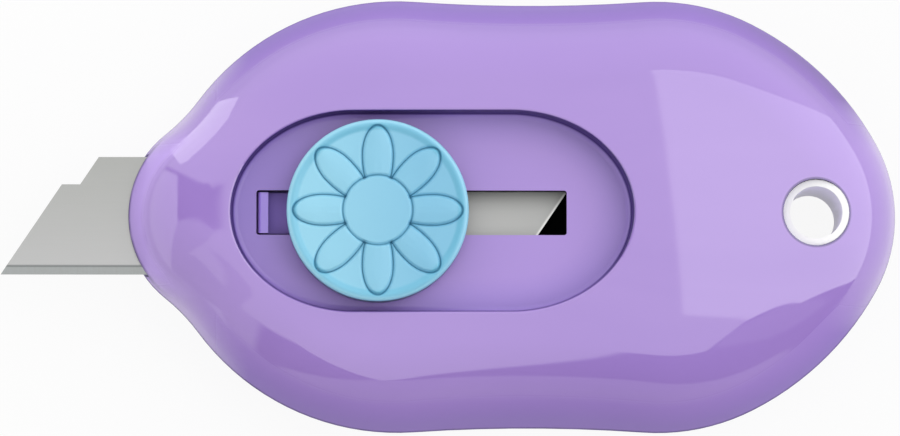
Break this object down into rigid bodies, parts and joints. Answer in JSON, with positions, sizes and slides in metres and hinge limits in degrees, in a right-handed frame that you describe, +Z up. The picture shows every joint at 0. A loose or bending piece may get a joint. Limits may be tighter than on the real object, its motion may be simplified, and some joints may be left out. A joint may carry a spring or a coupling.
{
  "type": "utility knife",
  "caption": "Palm-sized utility knife with a pebble-shaped two-part plastic case, a sliding blade moved by a round flower button in a thumb track, and a lined lanyard hole.",
  "frame": {"origin": "centre of the flat back face, under the middle of the handle's length", "axes": "+Z up out of the thumb side, +X along the handle towards the lanyard hole, so the blade points along -X"},
  "size_m": [0.0685, 0.0332, 0.0127],
  "materials": {
    "case_plastic": "polished lavender",
    "button_plastic": "light blue, low gloss",
    "liner_plastic": "white",
    "blade_steel": "fine lengthwise grind",
    "screw_steel": "plated",
    "spring_steel": "bright strip"
  },
  "bodies": {
    "case": {"upper_shell": "case_plastic", "lower_shell": "case_plastic", "lanyard_liner": "liner_plastic", "case_screws": "screw_steel"},
    "slider": {"blade_carrier": "case_plastic", "flower_button": "button_plastic", "blade": "blade_steel", "click_spring": "spring_steel"}
  },
  "joints": [
    {"name": "blade_slide", "type": "slide", "parent": "case", "child": "slider", "axis": [1, 0, 0], "range_m": [0, 0.012], "deforming": ["click_spring"]}
  ]
}
